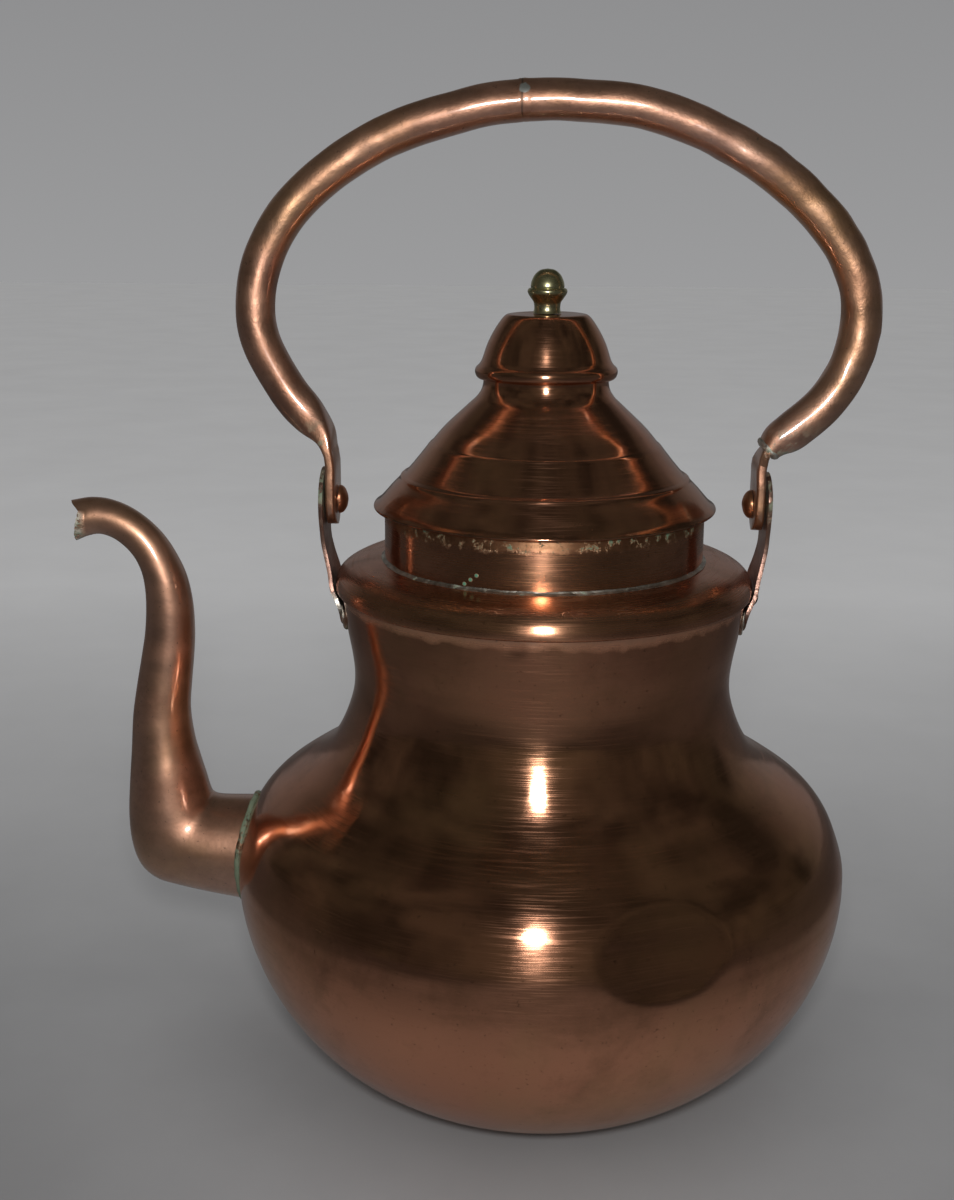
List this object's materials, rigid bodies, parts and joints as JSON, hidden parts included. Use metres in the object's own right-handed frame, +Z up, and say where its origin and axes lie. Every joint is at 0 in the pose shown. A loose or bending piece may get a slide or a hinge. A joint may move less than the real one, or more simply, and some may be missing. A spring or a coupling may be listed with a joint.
{
  "type": "stovetop kettle",
  "caption": "Round-bellied copper water kettle with a waisted neck, gooseneck spout, lift-off lid with a brass knob, and a swinging bail handle.",
  "frame": {"origin": "centre of the flat base, on the axis of the body", "axes": "+Z up along the body's axis, -X towards the spout, Y along the swing of the bail"},
  "size_m": [0.2993, 0.236, 0.3794],
  "materials": {
    "copper": "polished, lightly tarnished",
    "rivet_copper": "dull",
    "brass": "turned, polished",
    "solder": "dull grey",
    "green_solder": "dull, with verdigris"
  },
  "bodies": {
    "kettle": {"body_shell": "copper", "base_plate": "copper", "shoulder_plate": "copper", "lid_collar": "copper", "collar_solder": "solder", "spout": "copper", "spout_solder": "green_solder", "ear_left": "copper", "ear_right": "copper", "ear_rivet_left": "rivet_copper", "ear_rivet_right": "rivet_copper", "ear_solder_left": "solder", "ear_solder_right": "solder", "pivot_rivet_left": "rivet_copper", "pivot_rivet_right": "rivet_copper"},
    "bail": {"handle_tube_left": "copper", "handle_tube_right": "copper", "handle_strap_right": "copper", "strap_solder_right": "solder", "handle_spigot": "copper", "handle_solder": "solder"},
    "lid": {"lid_dome": "copper", "lid_crown": "copper", "lid_skirt": "copper", "finial": "brass", "finial_washer": "copper"}
  },
  "joints": [
    {"name": "bail_swing", "type": "hinge", "parent": "kettle", "child": "bail", "pos_m": [0, 0, 0.229], "axis": [1, 0, 0], "range_deg": [-115, 115]},
    {"name": "lid_lift", "type": "slide", "parent": "kettle", "child": "lid", "axis": [0, 0, 1], "range_m": [0, 0.045]}
  ]
}
